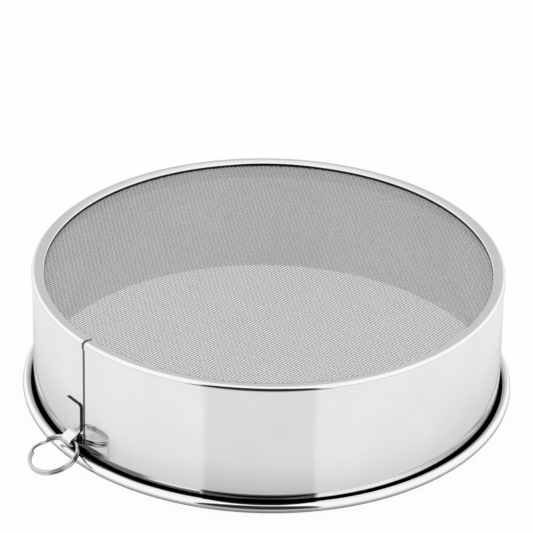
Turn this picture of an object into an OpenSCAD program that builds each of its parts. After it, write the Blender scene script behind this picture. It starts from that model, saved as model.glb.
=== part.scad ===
// Tamis drum sieve, stood on its rolled base with the mesh on top.
// Millimetres, +Z up, origin on the drum's axis at the surface it stands on.

/* [Drum] */
// Diameter over the hem at the mesh end
hem_d = 210; // [150:1:320]
// Height from the standing surface to the top of the lip
drum_h = 59.4; // [40:0.1:100]
// Thickness of the steel strip that makes the drum
sheet_t = 0.4; // [0.3:0.05:0.5]
// How much wider the wall's outer radius is at the base than at the hem
wall_flare = 0.5; // [0.2:0.1:4]

/* [Hem and lip] */
// How far the hem stands out from the wall
hem_step = 0.4; // [0.2:0.05:0.6]
// Height of the hem's band
hem_h = 3.9; // [3.5:0.1:8]
// Radius at which the hem's side begins to lean in
side_round = 6; // [4:0.5:8]
// Slope of the hem's side where its outer corner begins, in degrees
side_lean = 8; // [4:1:10]
// Radius of the hem's outer corner
hem_round = 1.3; // [0.9:0.1:1.4]
// Slope of the lip's crown where that corner ends, in degrees
crown_lean = 20; // [10:1:22]
// Radius of the lip's crown
crown_round = 3.8; // [3:0.1:4.5]
// Slope from the crown down to the lip's inner edge, in degrees
lip_slope = 12; // [8:1:14]
// Radius of the lip's inner edge, where it turns down onto the cloth
lip_round = 0.8; // [0.6:0.1:0.9]
// Width of the lip, from the hem's outside to its turned-down edge
lip_w = 5.7; // [4.5:0.1:8]

/* [Rolled base] */
// Outer radius of the rolled edge
curl_r = 2.15; // [1.8:0.05:3]
// Width of the flat between the roll's two bends, which it stands on
curl_reach = 1; // [0.5:0.05:1.5]
// Angle at which the roll's free edge stops, from the outside over the top
curl_stop = 130; // [90:1:140]

/* [Seam] */
// Azimuth of the strip's joined ends
seam_az = -138; // [-180:0.1:180]
// Width of the seam's groove
seam_w = 1.4; // [0.4:0.1:1.5]
// Depth of the seam's groove
seam_depth = 0.12; // [0.05:0.01:0.15]
// Height at which the seam's groove begins
seam_z = 10.9; // [8:0.1:20]

/* [Mesh and its ring] */
// Diameter of one wire of the woven cloth
mesh_wire = 0.33; // [0.2:0.01:0.5]
// Depth from the lip's top to the cloth's top
mesh_drop = 2; // [1.6:0.1:3]
// Clearance between the cloth's edge and the drum's wall
mesh_clear = 0.7; // [0.1:0.1:1.5]
// Thickness of the ring that holds the cloth up
ring_t = 0.7; // [0.5:0.1:2]
// Height of the ring that holds the cloth up
ring_h = 7.3; // [4:0.1:15]
// Clearance between the ring and the drum's wall
ring_clear = 0.05; // [0.03:0.01:0.2]

/* [Hanger strap] */
// Azimuth of the strap's middle
strap_az = -142; // [-180:0.1:180]
// Width of the strap's tab
strap_w = 11.1; // [9:0.1:16]
// Height of the tab's top edge
strap_top = 27.3; // [22:0.1:34]
// Thickness of the strap's metal
strap_t = 0.4; // [0.3:0.05:0.45]
// Width of the strap at its loop
loop_w = 6.6; // [5:0.1:7.2]
// Outer radius of the loop
loop_r = 2.35; // [2.25:0.05:2.6]
// Gap between the loop and the rolled base below it
loop_lift = 1.35; // [0.8:0.05:3]
// Height over which the loop closes into the tab
loop_throat = 3.3; // [3:0.1:4.8]
// Height over which the tab narrows to the loop's width
tab_taper = 3; // [1:0.1:4]
// Clearance between the strap and the drum's wall
strap_clear = 0.05; // [0.03:0.01:0.2]

/* [Split ring] */
// Outer diameter of the split ring
split_d = 22.9; // [21:0.1:26]
// Diameter of its wire
split_wire = 1.4; // [1:0.05:1.4]
// Gap between its two turns
split_gap = 0.45; // [0.41:0.01:0.5]
// Height of its lowest point above the standing surface
split_rest = 0.05; // [0.02:0.01:0.5]
// How far it has slid along the loop
split_shift = 1.8; // [0:0.1:1.8]
// Where its wire steps from one turn to the next, seen from the loop
split_step_az = 273; // [60:1:300]

/* [Hidden] */
$fn = 96;

// The wall's outer face is a cone between these two heights
curl_z = curl_r;
hem_z = drum_h - hem_h;
hem_r = hem_d / 2;
wall_top_r = hem_r - hem_step;
wall_base_r = wall_top_r + wall_flare;
function wall_r(z) = wall_base_r - wall_flare * (z - curl_z) / (hem_z - curl_z);

// Centres of the roll's two bends
bend_c = [wall_base_r - sheet_t + curl_r, curl_z];
curl_c = [bend_c.x + curl_reach, curl_z];

// Centres of the hem's side, its corner, the crown and the lip's edge, each meeting the next
crown_z = drum_h - crown_round;
corner_x = hem_r - side_round + (side_round - hem_round) * cos(side_lean);
corner_z = crown_z + (crown_round - hem_round) * cos(crown_lean);
side_c = [hem_r - side_round, corner_z - (side_round - hem_round) * sin(side_lean)];
corner_c = [corner_x, corner_z];
crown_c = [corner_x - (crown_round - hem_round) * sin(crown_lean), crown_z];
slope_up = [-sin(lip_slope), cos(lip_slope)];
lip_x = hem_r - lip_w + lip_round;
slope_rise = slope_up * crown_c + crown_round - lip_round;
lip_c = [lip_x, (slope_rise - slope_up.x * lip_x) / slope_up.y];

// The cloth lies under the lip's edge, on the retaining ring
mesh_t = 2 * mesh_wire;
mesh_top = drum_h - mesh_drop;
mesh_z = mesh_top - mesh_t;
mesh_r = wall_top_r - sheet_t - mesh_clear;

// Centre of the strap's loop, which is also the split ring's hinge axis
loop_z = curl_z + curl_r + loop_lift + loop_r;
loop_x = wall_r(loop_z) + strap_clear + loop_r;
loop_c = [loop_x, loop_z];
hole_r = loop_r - strap_t;
throat_z = loop_z + loop_throat;

// The split ring's wire is an inscribed hexagon, flat faces towards the next turn
split_sides = 6;
split_rings = 24;
wire_r = split_wire / 2;
wire_flat = wire_r * cos(180 / split_sides);
split_r = split_d / 2 - wire_r;
layer = wire_flat + split_gap / 2;
bow = (split_r - sqrt(pow(split_r, 2) - pow(loop_w / 2 + split_shift, 2))) / 2;
reach = 2 * split_r - bow;
drop = loop_z - split_rest - wire_r;
tilt = asin(drop / norm([reach, layer])) - atan(layer / reach);
step_half = 20;
end_gap = 22.5;

// Points of an arc in the (radius, height) plane; open leaves its last point out
function arc(c, r, from, to, steps, open = 0) =
    [for (i = [0 : steps - open])
        let (a = from + (to - from) * i / steps) c + r * [cos(a), sin(a)]];

// The hem's side, its corner, the crown and the slope, at a depth under the outer face
function lip_top(depth) = concat(
    arc(side_c, side_round - depth, 0, side_lean, 2, 1),
    arc(corner_c, hem_round - depth, side_lean, 90 - crown_lean, 8, 1),
    arc(crown_c, crown_round - depth, 90 - crown_lean, 90 + lip_slope, 6)
);

// One face of the strip, from the roll's free edge up the wall to the cloth
function skin(depth) = concat(
    arc(curl_c, curl_r - sheet_t + depth, curl_stop, -90, 24),
    arc(bend_c, curl_r - sheet_t + depth, -90, -180, 10),
    [[wall_r(hem_z) - depth, hem_z], [hem_r - depth, hem_z + hem_step]],
    lip_top(depth),
    arc(lip_c, lip_round - depth, 90 + lip_slope, 180, 8),
    [[lip_x - lip_round + depth, mesh_top]]
);

module hoop_profile() {
    outer = skin(0);
    inner = skin(sheet_t);
    polygon(concat(outer, [for (i = [len(inner) - 1 : -1 : 0]) inner[i]]));
}

// What lies outside the strip's outer face, down to the seam's depth
module seam_profile() {
    far = hem_r + 2 * curl_r;
    lip_end = lip_c + (lip_round - seam_depth) * slope_up;
    polygon(concat(
        [[wall_r(seam_z) - seam_depth, seam_z], [wall_r(hem_z) - seam_depth, hem_z],
         [hem_r - seam_depth, hem_z + hem_step]],
        lip_top(seam_depth),
        [lip_end, [lip_end.x, drum_h + 1], [far, drum_h + 1], [far, seam_z]]
    ));
}

module drum_hoop() {
    seam_angle = 2 * asin(seam_w / 2 / hem_r);
    color([0.80, 0.80, 0.81]) difference() {
        rotate_extrude() hoop_profile();
        rotate([0, 0, seam_az - seam_angle / 2])
            rotate_extrude(angle = seam_angle) seam_profile();
    }
}

module mesh_cloth() {
    color([0.62, 0.62, 0.63]) translate([0, 0, mesh_z]) cylinder(h = mesh_t, r = mesh_r);
}

module retaining_ring() {
    outer = wall_r(hem_z) - sheet_t - ring_clear;
    color([0.75, 0.75, 0.76]) translate([0, 0, mesh_z - ring_h]) difference() {
        cylinder(h = ring_h, r = outer);
        translate([0, 0, -1]) cylinder(h = ring_h + 2, r = outer - ring_t);
    }
}

// Direction, from the centre c, of the point where a line from q touches a round
function touch_angle(c, r, q, side) =
    let (v = q - c)
    atan2(v.y, v.x) + side * acos(r / norm(v));
function on_round(c, r, a) = c + r * [cos(a), sin(a)];
function on_strap(z, out) = [wall_r(z) + strap_clear + out, z];

// The strap from the side: two layers on the wall, opening into a teardrop loop
module strap_profile() {
    outer_foot = on_strap(throat_z, 2 * strap_t);
    inner_foot = on_strap(throat_z - strap_t, strap_t);
    front = touch_angle(loop_c, loop_r, outer_foot, -1);
    back = touch_angle(loop_c, loop_r, on_strap(strap_top, 0), 1) - 360;
    steps = 30;
    hole_front = touch_angle(loop_c, hole_r, inner_foot, -1);
    hole_back = touch_angle(loop_c, hole_r, inner_foot, 1);
    difference() {
        polygon(concat(
            [on_strap(strap_top, 0), on_strap(strap_top, 2 * strap_t), outer_foot],
            [for (i = [0 : steps]) on_round(loop_c, loop_r, front + (back - front) * i / steps)]
        ));
        polygon([
            inner_foot, on_round(loop_c, hole_r, hole_front), loop_c,
            on_round(loop_c, hole_r, hole_back)
        ]);
        translate(loop_c) circle(hole_r);
    }
}

// The strap from the front: a tab with round top corners, tapered to its loop
module strap_outline() {
    half = strap_w / 2;
    corner = 1.5;
    low = loop_z - 2 * loop_r;
    taper_z = throat_z + tab_taper;
    polygon([
        [-loop_w / 2, low], [loop_w / 2, low], [loop_w / 2, throat_z],
        [half, taper_z], [half, strap_top - corner], [half - corner, strap_top],
        [corner - half, strap_top], [-half, strap_top - corner], [-half, taper_z],
        [-loop_w / 2, throat_z]
    ]);
    for (side = [-1, 1]) translate([side * (half - corner), strap_top - corner]) circle(corner);
}

module hanger_strap() {
    depth = 3 * loop_r + wall_flare;
    color([0.78, 0.78, 0.79]) rotate([0, 0, strap_az]) intersection() {
        translate([0, strap_w, 0]) rotate([90, 0, 0])
            linear_extrude(height = 2 * strap_w) strap_profile();
        translate([wall_top_r - 1, 0, 0]) rotate([90, 0, 90])
            linear_extrude(height = depth) strap_outline();
    }
}

// The wire's middle line: two flat turns and one step between them
function step_up(a) =
    let (u = max(0, min(1, (a - 360 + step_half) / (2 * step_half))))
    layer * (2 * u * u * (3 - 2 * u) - 1);
function wire_point(a, out, up) =
    let (b = a + split_step_az)
    let (r = split_r + out)
    [split_r - bow + r * cos(b), split_shift + r * sin(b), step_up(a) + up];
turn_angles = [for (a = [end_gap : 360 / split_rings : 720 - end_gap]) a];
wire_points = [for (a = turn_angles, s = [0 : split_sides - 1])
    let (c = 360 * s / split_sides) wire_point(a, wire_r * cos(c), wire_r * sin(c))];

function ring_start(i) = i * split_sides;
wire_faces = concat(
    [for (s = [1 : split_sides - 2]) [0, s, s + 1]],
    [for (i = [0 : len(turn_angles) - 2], s = [0 : split_sides - 1])
        let (n = (s + 1) % split_sides)
        each [
            [ring_start(i) + s, ring_start(i + 1) + s, ring_start(i + 1) + n],
            [ring_start(i) + s, ring_start(i + 1) + n, ring_start(i) + n]
        ]],
    [for (s = [1 : split_sides - 2])
        let (e = ring_start(len(turn_angles) - 1)) [e, e + s + 1, e + s]]
);

// Least distance between points of the two turns, a third of a turn or more apart
least_gap = min([
    for (i = [0 : len(turn_angles) - 1], j = [i + split_rings / 3 : len(turn_angles) - 1],
         s = [0 : split_sides - 1], n = [0 : split_sides - 1])
    norm(wire_points[ring_start(i) + s] - wire_points[ring_start(j) + n])
]);
echo(least_gap = least_gap, tilt = tilt, loop_c = loop_c);

module split_ring() {
    color([0.72, 0.72, 0.73]) rotate([0, 0, strap_az]) translate([loop_x, 0, loop_z])
        rotate([0, tilt, 0]) polyhedron(points = wire_points, faces = wire_faces, convexity = 4);
}

drum_hoop();
mesh_cloth();
retaining_ring();
hanger_strap();
split_ring();
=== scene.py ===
import math

import bpy
import numpy as np
from mathutils import Matrix, Vector


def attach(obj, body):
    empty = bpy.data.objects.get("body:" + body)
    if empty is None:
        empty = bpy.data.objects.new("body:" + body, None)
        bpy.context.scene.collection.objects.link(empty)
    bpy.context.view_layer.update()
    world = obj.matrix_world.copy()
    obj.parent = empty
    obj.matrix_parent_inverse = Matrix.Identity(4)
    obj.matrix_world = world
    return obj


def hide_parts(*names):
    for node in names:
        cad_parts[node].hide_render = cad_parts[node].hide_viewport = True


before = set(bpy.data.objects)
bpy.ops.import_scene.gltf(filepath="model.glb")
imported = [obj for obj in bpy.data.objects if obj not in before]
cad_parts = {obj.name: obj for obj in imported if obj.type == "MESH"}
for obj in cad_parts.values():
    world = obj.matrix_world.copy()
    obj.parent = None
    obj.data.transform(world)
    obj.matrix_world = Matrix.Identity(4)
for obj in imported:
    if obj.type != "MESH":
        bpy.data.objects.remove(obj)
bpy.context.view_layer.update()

# Sizes are in millimetres, in the CAD's frame: Z up, origin on the drum's axis at the floor.
# Angles are in degrees.
MM = 0.001

# The drum's strip
HEM_R = 105.0
DRUM_H = 59.4
SHEET_T = 0.4
WALL_FLARE = 0.5
HEM_STEP = 0.4
HEM_H = 3.9
# Height over which the wall eases into the hem's step
HEM_EASE = 0.3
LIP_W = 5.7
LIP_ROUND = 0.8
# Keeps the lip's top just inside the CAD's box
TOP_INSET = 0.002
CROWN_R = 3.8
CROWN_IN = 12.0
CROWN_OUT = 20.0
CORNER_R = 1.3
SIDE_R = 6.0
SIDE_BEND = 8.0
CURL_R = 2.15
# The flat between the roll's two bends, 0.04 less than the CAD's to stay inside its box
CURL_REACH = 0.96
CURL_STOP = 130.0

# The seam's groove; its two sides run from foot to edge, in half-widths of the groove
SEAM_AZ = -138.0
SEAM_W = 1.4
SEAM_DEPTH = 0.12
SEAM_Z = 10.9
SEAM_FOOT = 0.9
SEAM_EDGE = 1.02

# The cloth
MESH_DROP = 2.0
MESH_WIRE = 0.33
MESH_PITCH = 1.33
MESH_TURN = 54.5
# From the wall's inside to the wires' ends
MESH_INSET = 0.9
# Keeps crossing wires just apart
WIRE_FIT = 0.97
CLOTH_STRIPS = 6

# The strap
STRAP_AZ = -142.0
STRAP_W = 11.1
STRAP_TOP = 27.3
STRAP_T = 0.4
STRAP_CLEAR = 0.05
STRAP_LAYER_GAP = 0.02
STRAP_CORNER = 1.5
STRAP_EDGE = 0.08
LOOP_W = 6.6
LOOP_R = 2.35
LOOP_LIFT = 1.35
LOOP_THROAT = 3.3
TAB_TAPER = 3.0

# The split ring; CAD_LAYER is the height from its middle to a turn's middle in the CAD
SPLIT_D = 22.9
SPLIT_WIRE = 1.4
SPLIT_REST = 0.05
SPLIT_SHIFT = 1.8
SPLIT_STEP_AZ = 273.0
SPLIT_STEP_HALF = 20.0
SPLIT_END = 22.0
SPLIT_END_SIZE = 0.82
SPLIT_TOUCH = 0.02
CAD_LAYER = 0.83

# The studio's tent: a dark gap in front, a dimmer part behind and a brighter top
GAP_LEFT = -119.5
GAP_RIGHT = -66.0
GAP_SIDE_SOFT = 1.5
GAP_TOP = 82.0
GAP_SOFT = 4.0
GAP_DIM = 0.97
BACK_DIM = 0.40
BACK_TOP = 50.0
BACK_SOFT = 18.0
BACK_HALF = 22.0
BACK_SIDE_SOFT = 10.0
TENT = 1.03
ZENITH = 0.3
ZENITH_LOW = 80.0
ZENITH_SOFT = 2.0

# The floor's colour and gloss, with painted shadow under the drum and next to the roll
FLOOR_HALF = 6000.0
FLOOR_SINK = 0.2
FLOOR_BASE = 0.93
FLOOR_ROUGH = 0.08
FLOOR_IOR = 2.2
UNDER_BASE = 0.9
NEAR_BASE = 0.4
# Painted shadow on the floor: under the drum out to UNDER_END, and next to the roll out to NEAR_END
UNDER_END = 107.6
UNDER_SOFT = 0.8
NEAR_END = 113.0
NEAR_END_SOFT = 3.0
# How much of the floor is plain white, to camera rays and to glossy rays
CAMERA_SHARE = 0.96
UNDER_SHARE = 0.90
GLOSSY_SHARE = 0.4
UNDER_GLOSS = 0.5
NEAR_SHARE = 128.0
NEAR_SOFT = 20.0
# Where the floor ends in the dark, as glossy rays see it
FLOOR_END = 270.0
FLOOR_FADE = 65.0
FAR_DIM = 0.25
FAR_BLACK = 0.02

# Where the strip is dark: painted shade in the roll, the groove behind it, on the lip's turned-down
# edge and at the wall's foot, and a darkened seam
HOOP_COLOUR = (0.90, 0.90, 0.905)
# The colour of that painted shade, also used for the darkened seam and the strap's darkened cut
# edges
PAINTED_SHADE_AND_LINE_COLOUR = (0.03, 0.03, 0.03)
ROLL_SOFT = 0.04
GROOVE_TOP = 4.3
GROOVE_SOFT = 0.15
EDGE_DROP = 0.8
EDGE_SOFT = 0.1
SEAM_LINE = 0.24
SEAM_LINE_SOFT = 0.06
SEAM_FLOOR_DARK = 0.85
# Shade on the wall's foot: from, to and softness in degrees from the front, height, strength
FOOT_SHADE = (
    (42, 200, 15, 8.0, 0.6),
    (59, 200, 5, 10.5, 0.62),
    (76, 200, 4, 12.5, 0.6),
    (-14.75, 12, 0.75, 7.0, 0.93),
    (-32, -14.75, 0.75, 5.8, 0.9),
    (-44, -28, 3, 7.2, 0.85),
    (-57, -41, 2, 9.0, 0.93),
    (-200, -55, 4, 8.5, 0.65),
    (-200, -62, 5, 10.8, 0.65),
    (-200, -76, 4, 12.5, 0.5),
)
FOOT_SOFT = 0.4
FOOT_REACH = 104.0
FOOT_FADE = 15.0
FOOT_SKIN = 0.3

CURL_Z = CURL_R
HEM_Z = DRUM_H - HEM_H
WALL_TOP_R = HEM_R - HEM_STEP
WALL_BASE_R = WALL_TOP_R + WALL_FLARE
# Centres of the roll's two bends, next to the wall and outside
BEND_X = WALL_BASE_R - SHEET_T + CURL_R
CURL_X = BEND_X + CURL_REACH
MESH_TOP = DRUM_H - MESH_DROP
LOOP_Z = CURL_Z + CURL_R + LOOP_LIFT + LOOP_R


def wall_r(z):
    """Outer radius of the wall at the height z."""
    return WALL_BASE_R - WALL_FLARE * (z - CURL_Z) / (HEM_Z - CURL_Z)


LOOP_X = wall_r(LOOP_Z) + STRAP_CLEAR + LOOP_R


# Meshes

def make_mesh(name, points, faces, material, body, sharp):
    """A smooth piece from points and a list or array of faces, with edges above an angle sharp."""
    mesh = bpy.data.meshes.new(name)
    mesh.from_pydata((np.asarray(points) * MM).tolist(), [], list(map(list, faces)))
    mesh.validate()
    mesh.update()
    mesh.shade_smooth()
    mesh.set_sharp_from_angle(angle=math.radians(sharp))
    piece = bpy.data.objects.new(name, mesh)
    bpy.context.scene.collection.objects.link(piece)
    mesh.materials.append(material)
    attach(piece, body)
    return piece


def unit(vectors):
    """The vectors, one to a row, at length 1."""
    return vectors / np.linalg.norm(vectors, axis=1)[:, None]


def tube(line, across, up, sides):
    """Points and faces of a capped tube: rings of points at line + across * cos + up * sin."""
    line, across, up = (np.asarray(v, float) for v in (line, across, up))
    turn = np.arange(sides) * 2 * math.pi / sides
    rings = (line[:, None] + across[:, None] * np.cos(turn)[None, :, None]
             + up[:, None] * np.sin(turn)[None, :, None])
    last = len(line) - 1
    i = np.arange(last)[:, None] * sides
    j = i + sides
    k = np.arange(sides)[None, :]
    n = (k + 1) % sides
    faces = np.stack([i + k, j + k, j + n, i + n], -1).reshape(-1, 4).tolist()
    faces.append(list(range(sides)))
    faces.append([last * sides + s for s in reversed(range(sides))])
    return rings.reshape(-1, 3), faces


def arc(centre, radius, start, stop, steps):
    """Points of an arc in the (radius, height) plane, angles in degrees."""
    angles = np.radians(np.linspace(start, stop, steps + 1))
    return np.stack([centre[0] + radius * np.cos(angles),
                     centre[1] + radius * np.sin(angles)], 1)


def bend(point, radius, start, stop, steps):
    """Points of an arc that leaves the point, whose skin faces the angle start there."""
    facing = math.radians(start)
    centre = (point[0] - radius * math.cos(facing), point[1] - radius * math.sin(facing))
    return arc(centre, radius, start, stop, steps)


def line_points(start, stop, steps):
    """Points between two places in the (radius, height) plane, without the last."""
    t = np.linspace(0, 1, steps, endpoint=False)[:, None]
    return np.asarray(start) * (1 - t) + np.asarray(stop) * t


# Materials

class Graph:
    """The nodes of a material or of the world, and short ways to add to them."""

    def __init__(self, tree):
        self.nodes, self.links = tree.nodes, tree.links

    def add(self, kind):
        return self.nodes.new("ShaderNode" + kind)

    def math(self, operation, *values):
        """A sum of numbers and of other nodes' outputs."""
        node = self.add("Math")
        node.operation = operation
        for value, socket in zip(values, node.inputs):
            if isinstance(value, (int, float)):
                socket.default_value = value
            else:
                self.links.new(value, socket)
        return node.outputs[0]

    def xyz(self, vector):
        parts = self.add("SeparateXYZ")
        self.links.new(vector, parts.inputs["Vector"])
        return parts.outputs

    def length(self, a, b):
        """The length of the vector (a, b)."""
        squares = self.math("ADD", self.math("MULTIPLY", a, a), self.math("MULTIPLY", b, b))
        return self.math("SQRT", squares)

    def above(self, value, edge, soft):
        """0 below the edge and 1 above it, soft on both sides of it."""
        step = self.add("MapRange")
        step.interpolation_type = "SMOOTHSTEP"
        step.inputs["From Min"].default_value = edge - soft
        step.inputs["From Max"].default_value = edge + soft
        self.links.new(value, step.inputs["Value"])
        return step.outputs["Result"]

    def below(self, value, edge, soft):
        return self.math("SUBTRACT", 1.0, self.above(value, edge, soft))

    def between(self, value, low, high, soft):
        return self.math("MULTIPLY", self.above(value, low, soft), self.below(value, high, soft))

    def emission(self, level):
        glow = self.add("Emission")
        glow.inputs["Color"].default_value = (level, level, level, 1)
        return glow.outputs["Emission"]

    def mix_shader(self, share, first, second):
        mix = self.add("MixShader")
        self.links.new(share, mix.inputs["Fac"])
        self.links.new(first, mix.inputs[1])
        self.links.new(second, mix.inputs[2])
        return mix.outputs["Shader"]


def new_material(name):
    material = bpy.data.materials.new(name)
    material.use_nodes = True
    graph = Graph(material.node_tree)
    return material, graph, graph.nodes["Principled BSDF"]


def in_the_roll(graph, place):
    """1 inside the roll, in the groove behind it and on the lip's turned-down edge, where shade is
    painted.
    """
    x, y, z = graph.xyz(place)
    out = graph.length(x, y)
    rise = graph.math("SUBTRACT", z, CURL_Z * MM)
    # Painted shade inside the roll
    from_curl = graph.length(graph.math("SUBTRACT", out, CURL_X * MM), rise)
    inside = graph.below(from_curl, (CURL_R - SHEET_T * 0.3) * MM, ROLL_SOFT * MM)
    # Only the bend's upper skin, not the one that faces the axis and the floor
    from_bend = graph.length(graph.math("SUBTRACT", out, BEND_X * MM),
                             graph.math("MINIMUM", rise, 0.0))
    upper = graph.below(from_bend, (CURL_R - SHEET_T * 0.5) * MM, ROLL_SOFT * MM)
    behind = graph.between(out, (WALL_BASE_R - SHEET_T * 0.5) * MM, (CURL_X - CURL_R * 0.66) * MM,
                           ROLL_SOFT / 2 * MM)
    # Painted shade in the groove between the wall and the roll
    low = graph.below(z, GROOVE_TOP * MM, GROOVE_SOFT * MM)
    groove = graph.math("MULTIPLY", low, graph.math("MULTIPLY", behind, upper))
    # Painted shade on the lip's edge where it turns down to the cloth
    edge = graph.below(out, (HEM_R - LIP_W + LIP_ROUND * 0.35) * MM, ROLL_SOFT * 0.75 * MM)
    turned = graph.between(z, HEM_Z * MM, (DRUM_H - EDGE_DROP) * MM, EDGE_SOFT * MM)
    rolled = graph.math("MAXIMUM", inside, groove)
    return graph.math("MAXIMUM", rolled, graph.math("MULTIPLY", edge, turned))


def in_the_seam(graph, place):
    """1 at the two sides of the seam's groove, a little less on its floor."""
    x, y, z = graph.xyz(place)
    off = graph.math("SUBTRACT", graph.math("ARCTAN2", y, x), math.radians(SEAM_AZ))
    off = graph.math("MULTIPLY", graph.math("ABSOLUTE", off), HEM_R)
    soft = SEAM_W * SEAM_LINE_SOFT
    sides = graph.between(off, SEAM_W * SEAM_LINE, SEAM_W / 2, soft)
    floor = graph.math("MULTIPLY", graph.below(off, SEAM_W / 2, soft), SEAM_FLOOR_DARK)
    above_roll = graph.above(z, GROOVE_TOP * MM, EDGE_SOFT * MM)
    return graph.math("MULTIPLY", graph.math("MAXIMUM", sides, floor), above_roll)


def at_the_foot(graph, place):
    """Shade on the outside of the wall's foot, just above the roll."""
    x, y, z = graph.xyz(place)
    front = graph.math("ARCTAN2", x, graph.math("MULTIPLY", y, -1.0))
    skin = graph.between(graph.length(x, y), (WALL_BASE_R - FOOT_SKIN) * MM,
                         (WALL_BASE_R + FOOT_SKIN) * MM, 0.05 * MM)
    shade = 0.0
    for start, stop, soft, top, strength in FOOT_SHADE:
        along = graph.between(front, math.radians(start), math.radians(stop), math.radians(soft))
        low = graph.between(z, (CURL_Z - 1) * MM, top * MM, FOOT_SOFT * MM)
        part = graph.math("MULTIPLY", graph.math("MULTIPLY", along, low), strength)
        shade = graph.math("MAXIMUM", part, shade)
    reach = graph.between(front, math.radians(-FOOT_REACH), math.radians(FOOT_REACH),
                          math.radians(FOOT_FADE))
    return graph.math("MULTIPLY", graph.math("MULTIPLY", shade, skin), reach)


def hoop_dark(graph, place):
    """Where the strip is dark: painted shade in its roll and at the wall's foot, and its darkened
    seam.
    """
    dark = graph.math("MAXIMUM", in_the_roll(graph, place), in_the_seam(graph, place))
    return graph.math("MAXIMUM", dark, at_the_foot(graph, place))


def on_cut_edge(graph, place):
    """1 on the strap's cut edges, which face sideways or, at its top, up."""
    x, y, z = graph.xyz(graph.add("TexCoord").outputs["Normal"])
    azimuth = math.radians(STRAP_AZ)
    side = graph.math("ADD", graph.math("MULTIPLY", x, -math.sin(azimuth)),
                      graph.math("MULTIPLY", y, math.cos(azimuth)))
    sideways = graph.above(graph.math("ABSOLUTE", side), 0.5, 0.1)
    at_top = graph.above(graph.xyz(place)[2], (STRAP_TOP - 2 * STRAP_CORNER) * MM, EDGE_SOFT * MM)
    up = graph.math("MULTIPLY", graph.above(z, 0.5, 0.1), at_top)
    return graph.math("MAXIMUM", sideways, up)


def steel(name, colour, rough, rough_spread, streaks, bump, seed, dark=None):
    """Polished steel: fine streaks in its gloss, faint clouding in its colour."""
    material, graph, shader = new_material(name)
    link = graph.links.new
    shader.inputs["Metallic"].default_value = 1.0
    place = graph.add("TexCoord").outputs["Object"]
    stretch = graph.add("Mapping")
    stretch.inputs["Location"].default_value = (seed, seed * 2, seed * 3)
    stretch.inputs["Scale"].default_value = streaks
    link(place, stretch.inputs["Vector"])
    fine = graph.add("TexNoise")
    fine.inputs["Scale"].default_value = 1.0
    fine.inputs["Detail"].default_value = 3.0
    link(stretch.outputs["Vector"], fine.inputs["Vector"])
    cloud = graph.add("TexNoise")
    cloud.inputs["Scale"].default_value = 38.0
    cloud.inputs["Detail"].default_value = 2.0
    link(place, cloud.inputs["Vector"])
    tint = graph.add("ValToRGB")
    for element, position, level in zip(tint.color_ramp.elements, (0.3, 0.7), (0.97, 1.02)):
        element.position = position
        element.color = (*[min(1, c * level) for c in colour], 1)
    link(cloud.outputs["Fac"], tint.inputs["Fac"])
    shade = tint.outputs["Color"]
    # Painted shade, and darker lines, mixed into the colour where the mask from dark is 1
    if dark is not None:
        darkened = graph.add("Mix")
        darkened.data_type = "RGBA"
        link(dark(graph, place), darkened.inputs["Factor"])
        link(shade, darkened.inputs["A"])
        darkened.inputs["B"].default_value = (*PAINTED_SHADE_AND_LINE_COLOUR, 1)
        shade = darkened.outputs["Result"]
    link(shade, shader.inputs["Base Color"])
    gloss = graph.add("MapRange")
    gloss.inputs["To Min"].default_value = rough - rough_spread
    gloss.inputs["To Max"].default_value = rough + rough_spread
    link(fine.outputs["Fac"], gloss.inputs["Value"])
    link(gloss.outputs["Result"], shader.inputs["Roughness"])
    height = graph.add("Bump")
    height.inputs["Strength"].default_value = bump
    height.inputs["Distance"].default_value = 0.02 * MM
    link(fine.outputs["Fac"], height.inputs["Height"])
    link(height.outputs["Normal"], shader.inputs["Normal"])
    return material


HOOP_STEEL = steel("hoop_steel", HOOP_COLOUR, 0.06, 0.02, (60, 60, 900), 0.10, 1,
                   dark=hoop_dark)
STRAP_STEEL = steel("strap_steel", (0.88, 0.88, 0.885), 0.12, 0.03, (300, 300, 900), 0.15, 2,
                    dark=on_cut_edge)
RING_STEEL = steel("ring_steel", (0.65, 0.65, 0.655), 0.10, 0.03, (700, 700, 700), 0.12, 3)
MESH_STEEL = steel("mesh_steel", (0.50, 0.50, 0.495), 0.28, 0.04, (900, 900, 900), 0.05, 4)
INNER_STEEL = steel("inner_ring_steel", (0.75, 0.75, 0.76), 0.2, 0.04, (60, 60, 900), 0.1, 5)


# The drum's strip, turned about the axis

def lip_skin():
    """The hem's outside, its corner, the crowned lip and the lip's turned-down edge."""
    side, top, inner = SIDE_BEND, 90 - CROWN_OUT, 90 + CROWN_IN
    parts = [bend((HEM_R, 0), SIDE_R, 0, side, 4)]
    parts.append(bend(parts[-1][-1], CORNER_R, side, top, 14))
    parts.append(bend(parts[-1][-1], CROWN_R, top, inner, 10))
    edge = bend((0, 0), LIP_ROUND, inner, 180, 10)
    start = np.array([HEM_R - LIP_W - edge[-1][0], 0])
    start[1] = parts[-1][-1][1] - (parts[-1][-1][0] - start[0]) * math.tan(math.radians(CROWN_IN))
    parts.append(edge + start)
    skin = np.concatenate([part[1:] if number else part for number, part in enumerate(parts)])
    skin[:, 1] += DRUM_H - TOP_INSET - skin[:, 1].max()
    return skin


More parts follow.
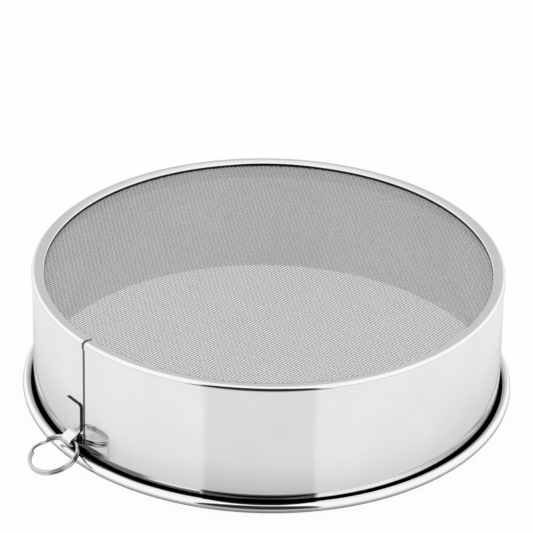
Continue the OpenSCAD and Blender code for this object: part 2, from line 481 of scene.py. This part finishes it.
def hoop_outline():
    """The strip's closed outline, and for each point whether it is on the outer skin."""
    inside = CURL_R - SHEET_T
    ease_z = HEM_Z - HEM_EASE
    cloth_z = MESH_TOP + 0.02
    lip = lip_skin()
    edge_r, edge_z = lip[-1]
    # The skin that faces out: from the roll's free edge, up the wall, over the hem and lip
    skin = np.concatenate([
        arc((CURL_X, CURL_Z), inside, CURL_STOP, -90, 40)[:-1],
        line_points((CURL_X, SHEET_T), (BEND_X, SHEET_T), 2),
        arc((BEND_X, CURL_Z), inside, -90, -180, 18)[:-1],
        line_points((WALL_BASE_R, CURL_Z), (wall_r(SEAM_Z), SEAM_Z), 4),
        line_points((wall_r(SEAM_Z), SEAM_Z), (wall_r(ease_z), ease_z), 24),
        line_points((wall_r(ease_z), ease_z), (wall_r(HEM_Z), HEM_Z), 2),
        line_points((wall_r(HEM_Z), HEM_Z), (HEM_R, HEM_Z + HEM_STEP), 3),
        line_points((HEM_R, HEM_Z + HEM_STEP), lip[0], 3),
        lip,
        line_points((edge_r, edge_z - 0.1), (edge_r, cloth_z), 4),
        [(edge_r, cloth_z)],
    ])
    along = unit(np.gradient(skin, axis=0))
    back = skin + SHEET_T * np.stack([-along[:, 1], along[:, 0]], 1)
    outer = np.arange(2 * len(skin)) < len(skin)
    return np.concatenate([skin, back[::-1]]), outer


def hoop_azimuths():
    """Even steps all round and close steps over the seam's groove, and half its width."""
    seam = SEAM_AZ % 360
    seam_half = math.degrees(SEAM_W / 2 / HEM_R)
    even = np.linspace(0, 360, 480, endpoint=False)
    away = np.abs(even - seam) > seam_half * 2.4
    near = np.array([SEAM_FOOT / 2, SEAM_FOOT, SEAM_EDGE, 1.6])
    near = seam + seam_half * np.concatenate([-near, [0], near])
    return np.sort(np.concatenate([even[away], near])), seam_half


def make_hoop():
    outline, outer = hoop_outline()
    azimuths, seam_half = hoop_azimuths()
    around, along = np.meshgrid(np.radians(azimuths), np.arange(len(outline)), indexing="ij")
    radius, height = outline[along, 0], outline[along, 1]
    # The groove sinks the outer skin from SEAM_Z upward and over the lip
    off = np.abs((np.degrees(around) - SEAM_AZ % 360)) / seam_half
    sunk = np.clip((SEAM_EDGE - off) / (SEAM_EDGE - SEAM_FOOT), 0, 1)
    sunk = sunk * outer[along] * (height >= SEAM_Z - 0.01)
    facing = unit(np.gradient(outline, axis=0))
    radius = radius - sunk * SEAM_DEPTH * facing[along, 1]
    height = height + sunk * SEAM_DEPTH * facing[along, 0]
    points = np.stack([radius * np.cos(around), radius * np.sin(around), height], -1)
    count, rim = len(azimuths), len(outline)
    i = np.arange(count)[:, None] * rim
    j = (i + rim) % (count * rim)
    k = np.arange(rim)[None, :]
    n = (k + 1) % rim
    faces = np.stack([i + k, i + n, j + n, j + k], -1).reshape(-1, 4)
    hoop = make_mesh("hoop", points.reshape(-1, 3), faces, HOOP_STEEL, "drum",
                     sharp=40)
    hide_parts("drum_hoop")


# The woven cloth, wire by wire

def wave_wires(turn, phase, count_from, count_to, radius, sides, steps):
    """Crimped wires side by side: each passes over one crossing wire and under the next."""
    points, faces = [], []
    base = 0
    upward = np.array([0, 0, 1])
    along_dir = np.array([math.cos(turn), math.sin(turn), 0])
    side_dir = np.array([-math.sin(turn), math.cos(turn), 0])
    middle = MESH_TOP - MESH_WIRE
    lift = MESH_WIRE / 2
    wire_r = MESH_WIRE / 2 * WIRE_FIT
    for number in range(count_from, count_to):
        offset = number * MESH_PITCH
        half = math.sqrt(max(0.0, radius ** 2 - offset ** 2))
        if half < MESH_PITCH:
            continue
        first = math.ceil(-half / MESH_PITCH * steps)
        last = math.floor(half / MESH_PITCH * steps)
        travel = np.concatenate([[-half], np.arange(first, last + 1) * MESH_PITCH / steps, [half]])
        wave = math.pi * travel / MESH_PITCH + math.pi * (number + phase)
        rise = lift * np.cos(wave)
        slope = -lift * math.pi / MESH_PITCH * np.sin(wave)
        tilt = 1 / np.sqrt(1 + slope ** 2)
        line = offset * side_dir + travel[:, None] * along_dir + (middle + rise)[:, None] * upward
        up = (-slope * tilt)[:, None] * along_dir + tilt[:, None] * upward
        across = np.tile(side_dir * wire_r, (len(line), 1))
        ring, quads = tube(line, across, up * wire_r, sides)
        points.append(ring)
        faces.extend([[v + base for v in quad] for quad in quads])
        base += len(ring)
    return np.concatenate(points), faces


def make_cloth():
    """Warp and weft, in strips so that no piece is too heavy."""
    reach = HEM_R - SHEET_T - HEM_STEP - MESH_INSET
    most = int(reach / MESH_PITCH)
    sides, steps = ((6, 3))
    edges = [round(-most + (2 * most + 1) * s / CLOTH_STRIPS) for s in range(CLOTH_STRIPS + 1)]
    for label, turn, phase in (("warp", MESH_TURN, 0), ("weft", MESH_TURN - 90, 1)):
        for strip in range(CLOTH_STRIPS):
            points, faces = wave_wires(math.radians(turn), phase, edges[strip],
                                       edges[strip + 1], reach, sides, steps)
            piece = make_mesh(f"cloth_{label}_{strip + 1}", points, faces, MESH_STEEL,
                              "drum", sharp=80)
            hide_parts("mesh_cloth")


# The strap: one strip folded round the loop, its two ends side by side on the wall

def touch_angle(centre, radius, point):
    """Directions from the centre at which lines from the point touch the round."""
    v = np.asarray(point) - centre
    a, b = math.atan2(v[1], v[0]), math.acos(radius / math.hypot(*v))
    return math.degrees(a - b), math.degrees(a + b)


def on_strap(z, out):
    """A place at the height z, a distance out from the strap's inner face."""
    return np.array([wall_r(z) + STRAP_CLEAR + out, z])


def strap_half_width(z):
    """Half the strap's width at the height z, with round top corners and a taper."""
    half = STRAP_W / 2
    if z > STRAP_TOP - STRAP_CORNER:
        into = min(STRAP_CORNER, z - (STRAP_TOP - STRAP_CORNER))
        return half - STRAP_CORNER + math.sqrt(STRAP_CORNER ** 2 - into ** 2)
    share = min(1.0, max(0.0, (z - LOOP_Z - LOOP_THROAT) / TAB_TAPER))
    return LOOP_W / 2 + (half - LOOP_W / 2) * share * share * (3 - 2 * share)


def strap_path():
    """The strip's middle line in the (radius, height) plane, from end to end."""
    inner = STRAP_T / 2
    outer = STRAP_T + inner + STRAP_LAYER_GAP
    centre = np.array([LOOP_X, LOOP_Z])
    radius = LOOP_R - inner
    throat = LOOP_Z + LOOP_THROAT
    tops = STRAP_TOP - STRAP_CORNER * (1 - np.sin(np.linspace(math.pi / 2, 0, 9)))
    heights = np.linspace(STRAP_TOP - STRAP_CORNER, throat, 12)[1:]
    front_foot = on_strap(throat, outer)
    back_foot = on_strap(throat, inner)
    front_a = touch_angle(centre, radius, front_foot)[0]
    back_a = touch_angle(centre, radius, back_foot)[1]
    loop = list(arc(centre, radius, back_a, front_a + 360, 40))
    back = [on_strap(z, inner) for z in (*tops, *heights)]
    back += list(line_points(back_foot, loop[0], 8)[1:])
    front = list(line_points(loop[-1], front_foot, 8)[1:])
    front += [on_strap(z, outer) for z in (*heights[::-1], *tops[::-1])]
    return np.array(back + loop + front)


def strap_section(half):
    """The strip's outline across its length: places along the width and off its middle."""
    t = STRAP_T / 2
    near, far = STRAP_EDGE * 0.3, STRAP_EDGE
    across = np.linspace(far - half, half - far, 12)
    section = [(y, t) for y in across]
    section += [(half - near, t - near), (half, t - far), (half, far - t), (half - near, near - t)]
    section += [(y, -t) for y in across[::-1]]
    section += [(near - half, near - t), (-half, far - t), (-half, t - far), (near - half, t - near)]
    return section


def make_strap():
    path = strap_path()
    along = unit(np.gradient(path, axis=0))
    normal = np.stack([along[:, 1], -along[:, 0]], 1)
    rings = []
    for place, out in zip(path, normal):
        ring = []
        for y, off in strap_section(strap_half_width(place[1])):
            radius, height = place + out * off
            azimuth = math.radians(STRAP_AZ) + y / radius
            ring.append((radius * math.cos(azimuth), radius * math.sin(azimuth), height))
        rings.append(ring)
    sides, count = len(rings[0]), len(rings)
    faces = [[i * sides + k, i * sides + (k + 1) % sides,
              (i + 1) * sides + (k + 1) % sides, (i + 1) * sides + k]
             for i in range(count - 1) for k in range(sides)]
    faces.append(list(reversed(range(sides))))
    faces.append([(count - 1) * sides + s for s in range(sides)])
    strap = make_mesh("strap", np.array(rings).reshape(-1, 3), faces, STRAP_STEEL,
                      "drum", sharp=50)
    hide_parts("hanger_strap")


# The split ring: two flat turns of wire and one step between them

def make_split_ring():
    wire = SPLIT_WIRE / 2
    ring_r = SPLIT_D / 2 - wire
    # It leans down from the loop's centre until its far side rests on the floor
    bow = (ring_r - math.sqrt(ring_r ** 2 - (LOOP_W / 2 + SPLIT_SHIFT) ** 2)) / 2
    reach = 2 * ring_r - bow
    drop = LOOP_Z - SPLIT_REST - wire
    lean = math.asin(drop / math.hypot(reach, CAD_LAYER)) - math.atan(CAD_LAYER / reach)
    angles = np.linspace(SPLIT_END, 720 - SPLIT_END, 231)
    u = np.clip((angles - 360 + SPLIT_STEP_HALF) / (2 * SPLIT_STEP_HALF), 0, 1)
    rise = (wire + SPLIT_TOUCH) * (2 * u * u * (3 - 2 * u) - 1)
    b = np.radians(angles + SPLIT_STEP_AZ)
    upward = np.array([0.0, 0.0, 1.0])
    outward = np.stack([np.cos(b), np.sin(b), np.zeros_like(b)], 1)
    line = outward * ring_r + np.array([ring_r - bow, SPLIT_SHIFT, 0]) + rise[:, None] * upward
    size = np.full((len(line), 1), wire)
    size[[0, -1]] *= SPLIT_END_SIZE
    points, faces = tube(line, outward * size, upward * size, 20)
    turn = (Matrix.Rotation(math.radians(STRAP_AZ), 4, "Z")
            @ Matrix.Translation((LOOP_X, 0, LOOP_Z)) @ Matrix.Rotation(lean, 4, "Y"))
    turned = points @ np.array(turn)[:3, :3].T + np.array(turn)[:3, 3]
    ring = make_mesh("hanging_ring", turned, faces, RING_STEEL, "hanging_ring",
                     sharp=50)
    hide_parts("split_ring")


# The stage

def floor_share(graph, seen, out, under):
    """How much of the floor is plain white, so that the object's shadow stays on it."""
    shade = graph.math("MULTIPLY_ADD", under, UNDER_SHARE - 1.0, 1.0)
    camera = graph.math("MULTIPLY", seen["Is Camera Ray"], CAMERA_SHARE)
    camera = graph.math("MULTIPLY", camera, shade)
    apart = graph.above(out, NEAR_SHARE * MM, NEAR_SOFT * MM)
    glossy = graph.math("MULTIPLY", apart, GLOSSY_SHARE)
    glossy = graph.math("MULTIPLY_ADD", under, UNDER_GLOSS, glossy)
    glossy = graph.math("MULTIPLY", glossy, seen["Is Glossy Ray"])
    return graph.math("ADD", camera, glossy)


def floor_dark(graph, seen, out, azimuth):
    """Where glossy rays find the floor dark: far out, and fully so in the tent's gap."""
    side = graph.between(azimuth, math.radians(GAP_LEFT), math.radians(GAP_RIGHT),
                         math.radians(GAP_SIDE_SOFT))
    depth = graph.math("MULTIPLY_ADD", side, 1.0 - FAR_DIM, FAR_DIM)
    far = graph.above(out, FLOOR_END * MM, FLOOR_FADE * MM)
    return graph.math("MULTIPLY", graph.math("MULTIPLY", depth, far), seen["Is Glossy Ray"])


def floor_material():
    """A pale glossy floor with painted shadow, a little darker under the drum and much darker next
    to the roll, and mostly white to the camera.
    """
    material, graph, shader = new_material("studio_floor")
    shader.inputs["Roughness"].default_value = FLOOR_ROUGH
    shader.inputs["IOR"].default_value = FLOOR_IOR
    x, y, _ = graph.xyz(graph.add("TexCoord").outputs["Object"])
    out = graph.length(x, y)
    under = graph.below(out, UNDER_END * MM, UNDER_SOFT * MM)
    close = graph.between(out, UNDER_END * MM, NEAR_END * MM, NEAR_END_SOFT * MM)
    # Painted shadow: the floor's colour drops under the drum and further next to the roll
    base = graph.math("MULTIPLY_ADD", under, UNDER_BASE - FLOOR_BASE, FLOOR_BASE)
    base = graph.math("MULTIPLY_ADD", close, NEAR_BASE - FLOOR_BASE, base)
    graph.links.new(base, shader.inputs["Base Color"])
    seen = graph.add("LightPath").outputs
    pale = graph.mix_shader(floor_share(graph, seen, out, under), shader.outputs["BSDF"],
                            graph.emission(1.0))
    dark = floor_dark(graph, seen, out, graph.math("ARCTAN2", y, x))
    surface = graph.mix_shader(dark, pale, graph.emission(FAR_BLACK))
    graph.links.new(surface, graph.nodes["Material Output"].inputs["Surface"])
    return material


def make_floor():
    half = FLOOR_HALF * MM
    mesh = bpy.data.meshes.new("floor")
    mesh.from_pydata([(-half, -half, 0), (half, -half, 0), (half, half, 0), (-half, half, 0)],
                     [], [(0, 1, 2, 3)])
    floor = bpy.data.objects.new("floor", mesh)
    bpy.context.scene.collection.objects.link(floor)
    floor.location.z = -FLOOR_SINK * MM
    mesh.materials.append(floor_material())


def make_world():
    """A white tent with a dark gap in front and a dimmer back; the camera sees it white."""
    world = bpy.data.worlds.new("studio")
    bpy.context.scene.world = world
    world.use_nodes = True
    graph = Graph(world.node_tree)
    background = graph.nodes["Background"]
    x, y, z = graph.xyz(graph.add("TexCoord").outputs["Generated"])
    azimuth = graph.math("ARCTAN2", y, x)
    height = graph.math("ARCSINE", z)
    gap = graph.math("MULTIPLY",
                     graph.between(azimuth, math.radians(GAP_LEFT), math.radians(GAP_RIGHT),
                                   math.radians(GAP_SIDE_SOFT)),
                     graph.below(height, math.radians(GAP_TOP), math.radians(GAP_SOFT)))
    back = graph.math("MULTIPLY",
                      graph.between(azimuth, math.radians(90 - BACK_HALF),
                                    math.radians(90 + BACK_HALF), math.radians(BACK_SIDE_SOFT)),
                      graph.below(height, math.radians(BACK_TOP), math.radians(BACK_SOFT)))
    level = graph.math("MULTIPLY", graph.math("MULTIPLY_ADD", gap, -GAP_DIM, 1.0),
                       graph.math("MULTIPLY_ADD", back, -BACK_DIM, 1.0))
    top = graph.above(height, math.radians(ZENITH_LOW), math.radians(ZENITH_SOFT))
    level = graph.math("MULTIPLY_ADD", top, ZENITH, level)
    tent = graph.math("MULTIPLY", level, TENT)
    mix = graph.add("Mix")
    mix.data_type = "FLOAT"
    graph.links.new(graph.add("LightPath").outputs["Is Camera Ray"], mix.inputs["Factor"])
    graph.links.new(tent, mix.inputs["A"])
    mix.inputs["B"].default_value = 1.0
    graph.links.new(mix.outputs["Result"], background.inputs["Strength"])
    background.inputs["Color"].default_value = (1, 1, 1, 1)


def turn_about(vector, axis, degrees):
    return Matrix.Rotation(math.radians(degrees), 3, axis) @ vector


def make_camera():
    """The camera fitted to the photo's rim, base and side outlines."""
    elevation, distance = math.radians(31.227), 1358.2 * MM
    pan, tilt, roll = 0.041, 2.078, -1.026
    focal_px, photo_px, sensor = 3000.0, 533, 36.0
    place = Vector((0, -distance * math.cos(elevation),
                    distance * math.sin(elevation) + CURL_Z * MM))
    forward = Vector((0, math.cos(elevation), -math.sin(elevation)))
    right = Vector((1, 0, 0))
    up = right.cross(forward)
    forward, right = turn_about(forward, up, pan), turn_about(right, up, pan)
    forward, up = turn_about(forward, right, tilt), turn_about(up, right, tilt)
    right, up = turn_about(right, forward, roll), turn_about(up, forward, roll)
    data = bpy.data.cameras.new("camera")
    data.sensor_width = sensor
    data.lens = focal_px / photo_px * sensor
    data.clip_start, data.clip_end = 0.01, 20
    camera = bpy.data.objects.new("camera", data)
    bpy.context.scene.collection.objects.link(camera)
    camera.matrix_world = Matrix.Translation(place) @ Matrix(
        (right, up, -forward)).transposed().to_4x4()
    bpy.context.scene.camera = camera


def dress_retaining_ring():
    """The CAD's own retaining ring is shown; it only gets its material."""
    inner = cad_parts["retaining_ring"]
    inner.data.materials.clear()
    inner.data.materials.append(INNER_STEEL)


make_camera()
make_hoop()
make_cloth()
make_strap()
make_split_ring()
dress_retaining_ring()
make_floor()
make_world()
bpy.context.scene.view_settings.view_transform = "Standard"
